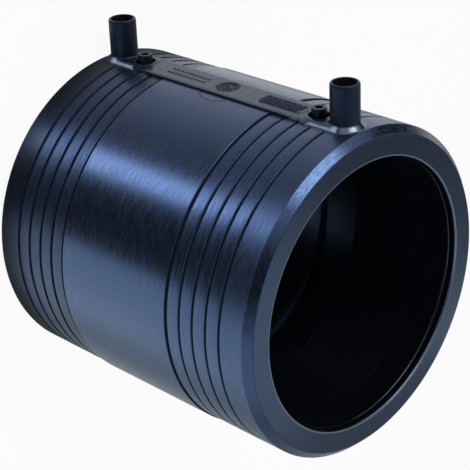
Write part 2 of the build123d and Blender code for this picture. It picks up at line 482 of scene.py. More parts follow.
bottom_part = half_bore(LOWER_CHAMFER_RUN)
top_part = [np.array((radius, LENGTH - height)) for radius, height in half_bore(END_CHAMFER)]
loop = [(radius, height) for height, radius in wall_rows]
loop += [tuple(point) for point in top_part[1:]]
loop += [tuple(point) for point in reversed(bottom_part[1:-1])]
print("the closed outline has", len(loop), "points")

# %% Turn the outline round the pipe axis
SECTORS = 200
WINDOW_SECTORS = 8       # on each side of the front
turned = []
for radius, height in loop:
    row = []
    for sector in range(SECTORS):
        angle = 2 * math.pi * sector / SECTORS
        row.append((radius * math.sin(angle), -radius * math.cos(angle), height))
    turned.append(add_corners(row))

window_rows = len(wall_rows) - 1
for row in range(len(loop)):
    row_after = (row + 1) % len(loop)
    for sector in range(-SECTORS // 2, SECTORS // 2):
        if row < window_rows and -WINDOW_SECTORS <= sector < WINDOW_SECTORS:
            continue
        low, high = turned[row], turned[row_after]
        faces.append((low[sector], low[sector + 1], high[sector + 1], high[sector]))
print("turned part:", len(faces), "faces")

# %% Lines of the fine front grid
FRONT_HALF = 16.0
TOWER_HOLE = 7.3         # half the square hole round a shroud
WELL_HOLE = 4.9
FINE_STEP = 0.45         # the fine grid's lines are at most this far apart
WINDOW_MARGIN = 0.4      # the fine grid starts this far inside its window


def fill_between(marks, step):
    """The marks in order, with even values between them no further apart than step."""
    marks = sorted(set(np.round(marks, 4)))
    values = []
    for low, high in zip(marks[:-1], marks[1:]):
        count = max(1, math.ceil((high - low) / step))
        values += list(np.linspace(low, high, count, endpoint=False))
    return np.array(values + [marks[-1]])


def hole_marks(inset, half):
    """The edges of a square hole near each end."""
    return [inset - half, inset + half, LENGTH - inset - half, LENGTH - inset + half]


first_row = WINDOW_START + WINDOW_MARGIN
row_marks = [first_row, LENGTH - first_row]
row_marks += list(wall_heights[1:-1])
row_marks += hole_marks(TERMINAL_INSET, TOWER_HOLE)
row_marks += hole_marks(INDICATOR_INSET, WELL_HOLE)
fine_rows = fill_between(row_marks, FINE_STEP)
strip_edges = [STRIP_HALF - STRIP_EDGE / 2, STRIP_HALF + STRIP_EDGE / 2, STRIP_HALF - BEVEL_WIDTH]
column_marks = [FRONT_HALF, TOWER_HOLE, WELL_HOLE, 0.0] + strip_edges
column_marks += [-mark for mark in column_marks]
fine_columns = fill_between(column_marks, FINE_STEP)
print("fine grid:", len(fine_rows), "rows by", len(fine_columns), "columns")

# %% The fine grid, with its holes
grid_x, grid_h = np.meshgrid(fine_columns, fine_rows)
grid_y = -front_reach(grid_x, grid_h)
numbers = add_corners(zip(grid_x.ravel(), grid_y.ravel(), grid_h.ravel()))
grid = np.array(numbers).reshape(grid_x.shape)


def nearest(values, target):
    """Place of the value closest to the target."""
    return int(np.argmin(np.abs(values - target)))


def hole(height, half):
    """First and last row and column of a square hole round a height on the front."""
    rows = nearest(fine_rows, height - half), nearest(fine_rows, height + half)
    columns = nearest(fine_columns, -half), nearest(fine_columns, half)
    return rows + columns


tower_heights = (TERMINAL_INSET, LENGTH - TERMINAL_INSET)
well_heights = (INDICATOR_INSET, LENGTH - INDICATOR_INSET)
holes = [hole(height, TOWER_HOLE) for height in tower_heights]
holes += [hole(height, WELL_HOLE) for height in well_heights]
solid = np.ones((len(fine_rows) - 1, len(fine_columns) - 1), bool)
for row_first, row_last, column_first, column_last in holes:
    solid[row_first:row_last, column_first:column_last] = False
for row, column in zip(*np.nonzero(solid)):
    low, high = grid[row], grid[row + 1]
    faces.append((low[column], low[column + 1], high[column + 1], high[column]))
print("with the front:", len(faces), "faces")

# %% Zip the fine grid into its window
def column_of(sector):
    """The window's part of one sector line."""
    return [turned[row][sector] for row in range(window_rows + 1)]


window_line = range(-WINDOW_SECTORS, WINDOW_SECTORS + 1)
zip_lines([turned[0][s] for s in window_line], list(grid[0]), lambda c: corners[c][0])
zip_lines([turned[window_rows][s] for s in window_line], list(grid[-1]), lambda c: corners[c][0])
zip_lines(column_of(-WINDOW_SECTORS), list(grid[:, 0]), lambda c: corners[c][2])
zip_lines(column_of(WINDOW_SECTORS), list(grid[:, -1]), lambda c: corners[c][2])

# %% [markdown]
# ## Towers and wells
# From each square hole a set of rings closes in on a circle. The rings crowd near the circle, where
# the foot rises steeply. After that a tower is a plain lathe job: a list of (radius, distance from
# the pipe axis) pairs with softened corners.

# %% Rings from a square hole to a circle
CROWDING = 1.6           # 1 spaces the rings evenly, more crowds them near the circle


def square_loop(place):
    """Corners round a hole of the fine grid, anticlockwise as seen from the front."""
    row_first, row_last, column_first, column_last = place
    loop = list(grid[row_first, column_first:column_last])
    loop += list(grid[row_first:row_last, column_last])
    loop += list(grid[row_last, column_last:column_first:-1])
    return loop + list(grid[row_last:row_first:-1, column_first])


def close_in(place, height, radius, rings):
    """Rings from the square hole to a circle. Returns the circle and the angle of each corner."""
    outer = square_loop(place)
    square = np.array([corners[number] for number in outer])
    angles = np.arctan2(square[:, 2] - height, square[:, 0])
    circle_x = radius * np.cos(angles)
    circle_h = height + radius * np.sin(angles)
    for step in range(1, rings + 1):
        share = 1 - (1 - step / rings) ** CROWDING
        x = square[:, 0] + share * (circle_x - square[:, 0])
        h = square[:, 2] + share * (circle_h - square[:, 2])
        inner = add_corners(zip(x, -front_reach(x, h), h))
        join_loops(outer, inner)
        outer = inner
    return outer, angles


def lathe_on(outer, angles, height, outline):
    """Rings that follow an outline of (radius, reach) from a circle, closed at its end."""
    for radius, reach in outline:
        ring = [(radius * math.cos(a), -reach, height + radius * math.sin(a)) for a in angles]
        inner = add_corners(ring)
        join_loops(outer, inner)
        outer = inner
    centre = add_corners([(0.0, -outline[-1][1], height)])[0]
    for step in range(len(outer)):
        faces.append((outer[step], outer[(step + 1) % len(outer)], centre))

# %% Shrouds
SHROUD_BORE_R = 4.6
SHROUD_DEPTH = 12.0
SHROUD_FLOOR = SHROUD_TOP - SHROUD_DEPTH
SHROUD_WALL_ROW = 6.0    # one row of the plain wall, above the foot
SHANK_R = 2.0            # hole for the pin's shank
SHANK_LENGTH = 11.0
SHANK_END = SHROUD_FLOOR - SHANK_LENGTH
tower_outline = soft_corners(
    [
        (SHROUD_R, FOOT_TOP),
        (SHROUD_R, FOOT_TOP + SHROUD_WALL_ROW),
        (SHROUD_R, SHROUD_TOP - 0.8),
        (SHROUD_R - 0.15, SHROUD_TOP - 0.25),
        (SHROUD_R - 0.45, SHROUD_TOP),
        (SHROUD_BORE_R + 0.2, SHROUD_TOP),
        (SHROUD_BORE_R, SHROUD_TOP - 0.3),
        (SHROUD_BORE_R, SHROUD_FLOOR),
        (SHANK_R, SHROUD_FLOOR),
        (SHANK_R, SHANK_END),
    ],
    reach=0.3,
)
for place, height in zip(holes[:2], tower_heights):
    circle, angles = close_in(place, height, SHROUD_R, rings=13)
    lathe_on(circle, angles, height, tower_outline[1:])
print("with the shrouds:", len(faces), "faces")

# %% Indicator wells
WELL_R = 4.2
WELL_RIM_R = WELL_R + 0.3
WELL_FLOOR = PAD_TOP - 2.2
STUB_R = 3.0
STUB_TOP = PAD_TOP + 3.0
INDICATOR_HOLE_R = 1.5
well_outline = soft_corners(
    [
        (WELL_RIM_R, PAD_TOP),
        (WELL_R, PAD_TOP),
        (WELL_R, WELL_FLOOR),
        (STUB_R, WELL_FLOOR),
        (STUB_R, STUB_TOP),
        (INDICATOR_HOLE_R, STUB_TOP),
        (INDICATOR_HOLE_R, INDICATOR_FLOOR),
    ],
    reach=0.2,
)
for place, height in zip(holes[2:], well_heights):
    circle, angles = close_in(place, height, WELL_RIM_R, rings=4)
    lathe_on(circle, angles, height, well_outline[1:])
print("with the wells:", len(faces), "faces")

# %% [markdown]
# ## Finish the body's mesh
# Corners that no face uses are dropped, and corners that lie on each other become one. All faces are
# turned outwards together, which works because the mesh is closed. Smooth shading would otherwise
# bend the light over flat areas, so the shading normals are weighted by face area.

# %% Close the body
import bmesh

SHARP_ANGLE = math.radians(60)
SAME_PLACE = 2e-6        # metres; corners closer than this become one


def tidy_mesh(piece):
    """Merges doubled corners, drops loose ones, turns faces outwards and marks sharp edges."""
    work = bmesh.new()
    work.from_mesh(piece.data)
    bmesh.ops.remove_doubles(work, verts=work.verts, dist=SAME_PLACE)
    bmesh.ops.delete(work, geom=[v for v in work.verts if not v.link_faces], context="VERTS")
    bmesh.ops.recalc_face_normals(work, faces=work.faces)
    for edge in work.edges:
        edge.smooth = edge.calc_face_angle(0) < SHARP_ANGLE
    open_edges = sum(1 for edge in work.edges if len(edge.link_faces) != 2)
    triangles = sum(len(face.verts) - 2 for face in work.faces)
    work.to_mesh(piece.data)
    work.free()
    weigh = piece.modifiers.new("flat areas stay flat", "WEIGHTED_NORMAL")
    weigh.keep_sharp = True
    print(piece.name, "-", triangles, "triangles,", open_edges, "open edges")


body = make_piece("moulded_body", corners, faces, "body_polyethylene")
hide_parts("coupler_body")
tidy_mesh(body)

# %% [markdown]
# ## The heating wire
# Many fine turns of resistance wire are pressed into the socket wall, so that only a low ridge shows
# for each turn. One wire serves both sockets: it starts at one terminal, winds through the first
# zone, crosses under the stop ring and winds through the second. A tube is swept along that path
# with a flattened section.

# %% Path of the wire
WIRE_PITCH = 1.5
WIRE_TURNS = 24
WIRE_STEPS = 72          # corners for each turn
WIRE_HALF_RADIAL = 0.225
WIRE_HALF_AXIAL = 0.5
WIRE_CENTRE_R = RECESS_R - WIRE_HALF_RADIAL
ZONE_START = RECESS_START + 1.0
BRIDGE_POINTS = 24


def turn_points(first_height, direction):
    """Points of one wound zone, each as (angle, height)."""
    count = WIRE_TURNS * WIRE_STEPS
    run = WIRE_PITCH * WIRE_TURNS
    return [
        (math.tau * step / WIRE_STEPS, first_height + direction * run * step / count)
        for step in range(count + 1)
    ]


lower_zone = turn_points(ZONE_START, 1)
upper_zone = turn_points(LENGTH - ZONE_START, -1)
bridge_heights = np.linspace(lower_zone[-1][1], upper_zone[-1][1], BRIDGE_POINTS)[1:-1]
bridge = [(0.0, height) for height in bridge_heights]
wire_path = lower_zone + bridge + upper_zone[::-1]
print("wire length about", round(2 * WIRE_TURNS * math.tau * WIRE_CENTRE_R / 1000, 1), "m")

# %% Sweep the wire
SECTION_POINTS = 8


def tube_quads(rings, sides):
    """Quads of a tube whose corners are stored ring by ring."""
    quads = []
    for ring in range(rings - 1):
        for step in range(sides):
            a = ring * sides + step
            b = ring * sides + (step + 1) % sides
            quads.append((a, b, b + sides, a + sides))
    return quads


def sweep_wire(path):
    """Corners and faces of a flattened tube along (angle, height) points inside the bore."""
    tube_corners = []
    centre = np.array(
        [(WIRE_CENTRE_R * math.sin(a), -WIRE_CENTRE_R * math.cos(a), h) for a, h in path]
    )
    along = np.gradient(centre, axis=0)
    along /= np.linalg.norm(along, axis=1)[:, None]
    outward = centre * (1, 1, 0)
    outward /= np.linalg.norm(outward, axis=1)[:, None]
    across = np.cross(along, outward)
    for point, out, side in zip(centre, outward, across):
        for step in range(SECTION_POINTS):
            angle = math.tau * step / SECTION_POINTS
            radial = WIRE_HALF_RADIAL * math.cos(angle)
            axial = WIRE_HALF_AXIAL * math.sin(angle)
            tube_corners.append(point + radial * out + axial * side)
    last = len(tube_corners) - SECTION_POINTS
    ends = [tuple(range(first, first + SECTION_POINTS)) for first in (0, last)]
    return tube_corners, tube_quads(len(path), SECTION_POINTS) + ends


heating_wire = make_piece("heating_wire_turns", *sweep_wire(wire_path), "resistance_wire")
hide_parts("heating_wire")
tidy_mesh(heating_wire)

# %% [markdown]
# ## Terminal pins and fusion indicators
# Both are turned parts on an axis that points to -Y, so one lathe helper makes them. A brass pin has
# a chamfered tip, a collar that rests on the shroud's floor, a shank in the plastic and a thin tail
# that leads to the wire. An indicator is a small plastic piston that rises when the melt pushes it.

# %% Lathe for parts that point to -Y
LATHE_STEPS = 64


def lathe(name, outline, height, material_slot):
    """A closed turned piece from (radius, reach) pairs that start and end on the axis."""
    rings = [point for point in outline if point[0] > 0]
    pin_corners = []
    for radius, reach in rings:
        for step in range(LATHE_STEPS):
            angle = math.tau * step / LATHE_STEPS
            place = (radius * math.cos(angle), -reach, height + radius * math.sin(angle))
            pin_corners.append(place)
    pin_faces = tube_quads(len(rings), LATHE_STEPS)
    last = len(pin_corners) - LATHE_STEPS
    for first, (radius, reach) in ((0, outline[0]), (last, outline[-1])):
        pin_corners.append((0.0, -reach, height))
        for step in range(LATHE_STEPS):
            after = first + (step + 1) % LATHE_STEPS
            pin_faces.append((first + step, after, len(pin_corners) - 1))
    piece = make_piece(name, pin_corners, pin_faces, material_slot)
    tidy_mesh(piece)
    return piece

# %% Brass terminal pins
AIR = 0.02               # a seated pin stays this far clear of the plastic
PIN_R = 2.0
PIN_CHAMFER = 0.5
COLLAR_R = 2.8
COLLAR_TOP = SHROUD_FLOOR + 1.2
TAIL_R = 1.0
pin_outline = soft_corners(
    [
        (0.0, PIN_TIP),
        (PIN_R - PIN_CHAMFER, PIN_TIP),
        (PIN_R, PIN_TIP - PIN_CHAMFER),
        (PIN_R, COLLAR_TOP),
        (COLLAR_R, COLLAR_TOP),
        (COLLAR_R, SHROUD_FLOOR + AIR),
        (SHANK_R - AIR, SHROUD_FLOOR + AIR),
        (SHANK_R - AIR, SHANK_END + AIR),
        (TAIL_R, SHANK_END + AIR),
        (TAIL_R, PIN_FOOT),
        (0.0, PIN_FOOT),
    ],
    reach=0.12,
)
for end, height in zip(("bottom", "top"), tower_heights):
    pin = lathe("brass_pin_" + end, pin_outline, height, "pin_brass")
    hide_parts("terminal_pin_" + end)
print(f"pin tips lie {SHROUD_TOP - PIN_TIP:.1f} below the shroud's rim")

# %% Indicator pistons
PISTON_R = INDICATOR_HOLE_R - 0.05
piston_outline = soft_corners(
    [
        (0.0, INDICATOR_TIP),
        (PISTON_R, INDICATOR_TIP),
        (PISTON_R, INDICATOR_FLOOR + AIR),
        (0.0, INDICATOR_FLOOR + AIR),
    ],
    reach=0.15,
)
for end, height in zip(("bottom", "top"), well_heights):
    piston = lathe("indicator_piston_" + end, piston_outline, height, "indicator_polyethylene")
    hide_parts("indicator_pin_" + end)

# %% [markdown]
# ## Finishes
# Everything black here is the same polyethylene, but it left the tools with different skins. The
# barrel carries hairlines that run round it, the ends were turned, and the gate tore. Some skins are
# duller or darker copies that paint shade: in the grooves, on the lower chamfer, on the far bands,
# at the lower end and in the bore. A finish is a Principled shader whose roughness and bump come
# from noise that is stretched in the right direction.
# Noise that is squeezed along Z and read at the object's own place gives lines that run round the
# barrel and have no seam.

# %% Node helpers
def start_finish(name):
    """A material with its node tree and its Principled shader."""
    finish = bpy.data.materials.new(name)
    finish.use_nodes = True
    shader = finish.node_tree.nodes["Principled BSDF"]
    return finish, finish.node_tree, shader


def add_node(tree, kind, **settings):
    """A new node. Settings name its properties, or its inputs with the prefix in_."""
    node = tree.nodes.new(kind)
    for key, value in settings.items():
        if key.startswith("in_"):
            node.inputs[key[3:].replace("_", " ")].default_value = value
        else:
            setattr(node, key, value)
    return node


def combine(tree, operation, first, second):
    """A Math node on two sockets or numbers. Returns its output."""
    node = tree.nodes.new("ShaderNodeMath")
    node.operation = operation
    for socket, value in zip(node.inputs, (first, second)):
        if isinstance(value, (int, float)):
            socket.default_value = value
        else:
            tree.links.new(value, socket)
    return node.outputs["Value"]


def distance_from_axis(tree, x, y):
    """Distance from the pipe axis, from two sockets. Returns the output."""
    squares = [combine(tree, "MULTIPLY", value, value) for value in (x, y)]
    return combine(tree, "SQRT", combine(tree, "ADD", *squares), 0.0)


def ramp(tree, value, start, end, low, high, shape="SMOOTHSTEP"):
    """Change from low to high while a value goes from start to end. Returns the output."""
    node = add_node(tree, "ShaderNodeMapRange", interpolation_type=shape)
    for name, number in zip(("From Min", "From Max", "To Min", "To Max"), (start, end, low, high)):
        node.inputs[name].default_value = number
    tree.links.new(value, node.inputs["Value"])
    return node.outputs["Result"]

# %% Stretched noise
NOISE_LOW = 0.3          # nearly all of the noise lies between these two
NOISE_HIGH = 0.7
SLANT = 1.7              # height counts more than radius, so that a chamfer gets its lines too


def stretched_noise(tree, grain, detail=4.0, turned=False):
    """Noise with a grain of (x, y, z) millimetres. Turned noise runs in rings round the pipe axis."""
    place = tree.nodes.new("ShaderNodeTexCoord").outputs["Object"]
    if turned:
        split = tree.nodes.new("ShaderNodeSeparateXYZ")
        tree.links.new(place, split.inputs[0])
        x, y, z = split.outputs
        radius = distance_from_axis(tree, x, y)
        across = combine(tree, "ADD", radius, combine(tree, "MULTIPLY", z, SLANT))
        join = tree.nodes.new("ShaderNodeCombineXYZ")
        for socket, value in zip(join.inputs, (x, y, across)):
            tree.links.new(value, socket)
        place = join.outputs[0]
    scale = tree.nodes.new("ShaderNodeMapping")
    scale.inputs["Scale"].default_value = tuple(1000 / size for size in grain)
    tree.links.new(place, scale.inputs["Vector"])
    noise = add_node(tree, "ShaderNodeTexNoise", in_Scale=1.0, in_Detail=detail)
    tree.links.new(scale.outputs[0], noise.inputs["Vector"])
    return noise.outputs["Fac"]

# %% Colour, roughness and bumps from noise
def two_tones(tree, shader, value, dark, light):
    """Base colour between two tones."""
    tones = tree.nodes.new("ShaderNodeValToRGB")
    places = zip(tones.color_ramp.elements, (NOISE_LOW, NOISE_HIGH), (dark, light))
    for element, position, colour in places:
        element.position = position
        element.color = (*colour, 1)
    tree.links.new(value, tones.inputs["Fac"])
    tree.links.new(tones.outputs["Color"], shader.inputs["Base Color"])


def vary_roughness(tree, shader, value, low, high):
    """Roughness between two values."""
    result = ramp(tree, value, NOISE_LOW, NOISE_HIGH, low, high, shape="LINEAR")
    tree.links.new(result, shader.inputs["Roughness"])


def raise_bumps(tree, shader, layers):
    """Chains bump nodes. Each layer is (noise output, depth in millimetres)."""
    normal = None
    for value, depth in layers:
        bump = add_node(tree, "ShaderNodeBump", in_Distance=depth * MM, in_Strength=1.0)
        tree.links.new(value, bump.inputs["Height"])
        if normal is not None:
            tree.links.new(normal, bump.inputs["Normal"])
        normal = bump.outputs["Normal"]
    tree.links.new(normal, shader.inputs["Normal"])

# %% One skin of black polyethylene
COOL_SHEEN = (0.28, 0.47, 1.0, 1.0)     # tint of the soft reflection
BLACK_LOW = (0.0035, 0.0045, 0.008)
BLACK_HIGH = (0.007, 0.009, 0.015)


def two_blacks(shade):
    """The darker and the lighter black, both multiplied by a shade. A shade below 1 is painted shade,
    as in the bore.
    """
    return [[shade * value for value in black] for black in (BLACK_LOW, BLACK_HIGH)]


def black_polyethylene(name, grain, rough, line_depth, mottle_depth,
                       turned=False, gloss=1.0, tint=COOL_SHEEN, shade=1.0):
    """A skin of black polyethylene: lines along one direction over a soft mottling."""
    finish, tree, shader = start_finish(name)
    lines = stretched_noise(tree, grain, turned=turned)
    mottle = stretched_noise(tree, (2.5, 2.5, 2.5), detail=3.0)
    two_tones(tree, shader, mottle, *two_blacks(shade))
    vary_roughness(tree, shader, lines, *rough)
    raise_bumps(tree, shader, [(mottle, mottle_depth), (lines, line_depth)])
    shader.inputs["IOR"].default_value = 1.7
    shader.inputs["Specular IOR Level"].default_value = gloss
    shader.inputs["Specular Tint"].default_value = tint
    return finish

# %% All the skins
PALE_SHEEN = (0.6, 0.72, 1.0, 1.0)     # the smooth slopes mirror their surroundings whiter
DEEP_SHEEN = (0.22, 0.43, 1.0, 1.0)    # turned ends, raised parts and far bands look bluer
ALL_ROUND = (6, 6, 0.3)      # grain of lines that run round the barrel
FINE_EVEN = (0.6, 0.6, 0.6)
skins = {
    "barrel": black_polyethylene("barrel_skin", ALL_ROUND, (0.16, 0.34), 0.003, 0.008),
    "bands": black_polyethylene("band_skin", ALL_ROUND, (0.2, 0.38), 0.004, 0.01),
    # painted shade: a duller, bluer copy of the band skin darkens the far bands
    "far bands": black_polyethylene("far_band_painted_shade_skin", ALL_ROUND, (0.24, 0.42), 0.004, 0.014,
                                    gloss=0.66, tint=DEEP_SHEEN),
    "upper end": black_polyethylene("upper_end_skin", ALL_ROUND, (0.26, 0.44), 0.004, 0.01),
    # painted shade: a duller copy of the end skin darkens the lower end, next to the table
    "lower end": black_polyethylene("lower_end_painted_shade_skin", ALL_ROUND, (0.18, 0.34), 0.004, 0.01,
                                    gloss=0.45),
    "raised": black_polyethylene("raised_skin", FINE_EVEN, (0.2, 0.42), 0.006, 0.014,
                                 gloss=0.4, tint=DEEP_SHEEN),
    "slope": black_polyethylene("slope_skin", FINE_EVEN, (0.18, 0.28), 0.0006, 0.002,
                                tint=PALE_SHEEN),
    "end face": black_polyethylene("end_face_skin", (5, 5, 0.16), (0.2, 0.34), 0.004, 0.004,
                                   turned=True, gloss=0.44, tint=DEEP_SHEEN),
    "bead": black_polyethylene("bead_skin", FINE_EVEN, (0.15, 0.25), 0.0006, 0.002,
                               gloss=0.3, tint=PALE_SHEEN),
    "chamfer": black_polyethylene("chamfer_skin", (2.5, 2.5, 0.3), (0.15, 0.34), 0.02, 0.02,
                                  turned=True, gloss=0.75),
    # painted shade: the bore's blacks are darkened to 0.4 and its gloss is low, so the inside reads
    # dark
    "bore": black_polyethylene("bore_painted_shade_skin", (6, 6, 0.5), (0.4, 0.55), 0.004, 0.006,
                               gloss=0.05, shade=0.4),
    # painted shade: the deep bore's blacks are darkened to 0.4 as well
    "deep bore": black_polyethylene("deep_bore_painted_shade_skin", (6, 6, 0.5), (0.25, 0.4), 0.004, 0.006,
                                    gloss=0.26, shade=0.4),
    "shroud": black_polyethylene("shroud_skin", (0.4, 0.4, 0.4), (0.3, 0.4), 0.004, 0.004,
                                 gloss=0.19),
    # painted shade: a dull copy of the band skin, so the grooves read dark as if shaded
    "groove": black_polyethylene("groove_painted_shade_skin", ALL_ROUND, (0.55, 0.7), 0.004, 0.01, gloss=0.12),
    "relief": black_polyethylene("relief_skin", FINE_EVEN, (0.25, 0.45), 0.004, 0.01, gloss=0.3),
    "gate": black_polyethylene("torn_gate_skin", (0.8, 0.8, 0.8), (0.2, 0.4), 0.1, 0.06,
                               gloss=0.28),
}
print(len(skins), "skins of one black plastic")

# %% [markdown]
# ## Sharing out the skins
# The body is one mesh with many skins, and each face has to know its own. Painting them by hand would
# take long and would be lost when a size changes, so a rule decides: it looks at where the middle of a
# face lies and how far the face leans. A new face count then needs no new work.

# %% Which skin a face of the front takes
STEEP = math.cos(math.radians(28))       # a face that leans more than this belongs to a slope
SLOPE_END = PAD_FAR_END + 3.5            # no slope is further from an end face
LIFT = 0.04              # what stands this much above the barrel is a raised part
STUD_SEEN = 0.1          # from this height on a stud has its own skin
LIP_SLACK = 0.04         # a groove's skin stops this far inside its lips
BORDER = 0.05            # the middle of a face may lie this far past a border


def in_groove(near):
    """True between the lips of a groove."""
    index = round((near - GROOVE_START) / GROOVE_PITCH)
    index = min(max(index, 0), GROOVE_COUNT - 1)
    return abs(near - GROOVE_START - index * GROOVE_PITCH) < GROOVE_WIDTH / 2 - LIP_SLACK


def front_area(centre, normal, near):
    """Which skin a face of the front takes, or None where the front is plain barrel."""
    if math.hypot(centre.x, near - TERMINAL_INSET) < SHROUD_R + BORDER:
        return "shroud"
    if math.hypot(centre.x, near - INDICATOR_INSET) < WELL_RIM_R:
        return "shroud"
    if math.hypot(centre.x, centre.z - MIDDLE) < GATE_R:
        return "gate"
    if -centre.y < math.sqrt(max(wall(centre.z), BAND_R) ** 2 - centre.x**2) + LIFT:
        return None
    on_plate = abs(centre.z - PANEL_CENTRE) < PANEL_HALF and abs(centre.x) < PANEL_HALF_WIDTH
    if on_plate or studs(centre.x, centre.z) > STUD_SEEN:
        return "relief"
    steep = abs(normal.y) < STEEP and near < SLOPE_END
    return "slope" if steep and pad_gap(centre.x, near) > 0 else "raised"

# %% Which skin any face takes
DEEP_BORE = 54.0         # further in than this the bore has no winding
RING_SLACK = 0.2         # the end face's skin reaches this far over its rounded rim
BORE_REACH = 1.0         # all that lies this close to the bore's wall belongs to the bore
BEAD_ZONE = 0.5          # reach of the bead's skin along the bore
BEAD_SEEN = 0.03         # from this height on the bead has its own skin


def area_of(centre, normal):
    """Which skin a face takes, from its centre in millimetres and its normal."""
    radius = math.hypot(centre.x, centre.y)
    near = min(centre.z, LENGTH - centre.z)
    if near < END_CHAMFER - BORDER:
        if radius < BORE_R + MOUTH_CHAMFER:
            return "slope" if near < MOUTH_CHAMFER else "bore"
        if radius < BAND_R - END_CHAMFER + RING_SLACK:
            return "end face"
        # the lower chamfer takes the groove skin too, painted shade that makes it darker than the upper
        # one
        return "chamfer" if centre.z > MIDDLE else "groove"
    if radius < BORE_R + BORE_REACH:
        if near < BEAD_PLACE + BEAD_ZONE and radius < BORE_R - BEAD_SEEN:
            return "bead"
        return "deep bore" if near > DEEP_BORE else "bore"
    if centre.y < 0 and abs(centre.x) < FRONT_HALF:
        front = front_area(centre, normal, near)
        if front is not None:
            return front
    if in_groove(near):
        return "groove"
    # the lower end and the far bands take duller copies, painted shade on the far end
    if near < GROOVE_START:
        return "upper end" if centre.z > MIDDLE else "lower end"
    if near < GROOVE_START + (GROOVE_COUNT - 1) * GROOVE_PITCH:
        return "bands" if centre.z > MIDDLE else "far bands"
    return "barrel"

# %% Give each face its skin
names = list(skins)
for skin in skins.values():
    body.data.materials.append(skin)
for face in body.data.polygons:
    face.material_index = names.index(area_of(face.center / MM, face.normal))
counts = np.bincount([face.material_index for face in body.data.polygons])
print("faces by skin:", dict(zip(names, counts.tolist())))

# %% [markdown]
# ## Wire and brass
# The wire lies under a thin film of polyethylene that the winding tool drew over it, so it is as
# black as the wall. Its black is then darkened further as painted shade, as in the bore, and only
# its ridges show. The pins are plain turned brass: metallic, a little dull, with fine rings from the
# lathe and a slightly browner tone in patches.

# %% Film-covered wire
film_finish, tree, shader = start_finish("film_covered_wire")
film_mottle = stretched_noise(tree, (3, 3, 1))
# painted shade: the film's blacks are darkened to 0.4, as in the bore
two_tones(tree, shader, film_mottle, *two_blacks(0.4))
vary_roughness(tree, shader, film_mottle, 0.35, 0.5)
raise_bumps(tree, shader, [(film_mottle, 0.01)])
shader.inputs["Specular IOR Level"].default_value = 0.06
shader.inputs["Specular Tint"].default_value = COOL_SHEEN
heating_wire.data.materials.append(film_finish)

# %% Turned brass
brass_finish, tree, shader = start_finish("turned_brass")
brass_rings = stretched_noise(tree, (4, 0.12, 4))
brass_patches = stretched_noise(tree, (1.5, 1.5, 1.5))
two_tones(tree, shader, brass_patches, (0.42, 0.26, 0.09), (0.62, 0.43, 0.18))
vary_roughness(tree, shader, brass_rings, 0.22, 0.4)
raise_bumps(tree, shader, [(brass_rings, 0.004)])
shader.inputs["Metallic"].default_value = 1.0
for end in ("bottom", "top"):
    bpy.data.objects["brass_pin_" + end].data.materials.append(brass_finish)

# %% Indicator plastic
piston_finish = black_polyethylene("indicator_skin", (1, 1, 1), (0.35, 0.5), 0.01, 0.01, gloss=0.2)
for end in ("bottom", "top"):
    bpy.data.objects["indicator_piston_" + end].data.materials.append(piston_finish)
print("materials:", len(bpy.data.materials))

# %% [markdown]
# ## The light table
# A black shiny tube shows nothing but what surrounds it. A wall that is seen from above mirrors what
# lies below, so one lamp stands lower than the table, and a second one stands high in front. The
# table top is a white sheet that reflections and shadows pass through. A dark seat, hidden from the
# camera, closes most of the bore from below, so that its inside stays dark. It is cut straight on
# one side: light comes up there and draws a pale streak deep in the bore.

# %% Pieces that only stage the scene
def stage_piece(name, places, faces, seen=True):
    """A stage piece from places in metres. Returns it with an empty node tree and its output."""
    mesh = bpy.data.meshes.new(name)
    mesh.from_pydata(places, [], faces)
    piece = bpy.data.objects.new(name, mesh)
    bpy.context.scene.collection.objects.link(piece)
    piece.visible_camera = seen
    finish = bpy.data.materials.new(name)
    finish.use_nodes = True
    finish.node_tree.nodes.clear()
    mesh.materials.append(finish)
    output = finish.node_tree.nodes.new("ShaderNodeOutputMaterial")
    return piece, finish.node_tree, output.inputs["Surface"]


def paper(tree, shade):
    """Matt paper of one grey."""
    return add_node(tree, "ShaderNodeBsdfDiffuse", in_Color=(shade, shade, shade, 1))


def mix(tree, share, first, second):
    """Two shaders mixed. share is a number or an output, and 0 gives the first."""
    node = tree.nodes.new("ShaderNodeMixShader")
    if isinstance(share, float):
        node.inputs[0].default_value = share
    else:
        tree.links.new(share, node.inputs[0])
    tree.links.new(first.outputs[0], node.inputs[1])
    tree.links.new(second.outputs[0], node.inputs[2])
    return node

# %% Table
TABLE_HALF = 20.0        # metres
TABLE_HEIGHT = -0.0004
TABLE_SHADE = 0.9
TABLE_GLOW = 0.93        # share of pure white that the camera sees in the table
table_places = [
    (x * TABLE_HALF, y * TABLE_HALF, TABLE_HEIGHT)
    for x, y in ((-1, -1), (1, -1), (1, 1), (-1, 1))
]
table, tree, surface = stage_piece("table", table_places, [(0, 1, 2, 3)])
table.visible_glossy = False
table.visible_shadow = False
table_paper = paper(tree, TABLE_SHADE)
glowing = mix(tree, TABLE_GLOW, table_paper, add_node(tree, "ShaderNodeEmission"))
to_camera = tree.nodes.new("ShaderNodeLightPath").outputs["Is Camera Ray"]
tree.links.new(mix(tree, to_camera, table_paper, glowing).outputs[0], surface)
print("table:", 2 * TABLE_HALF, "m square")

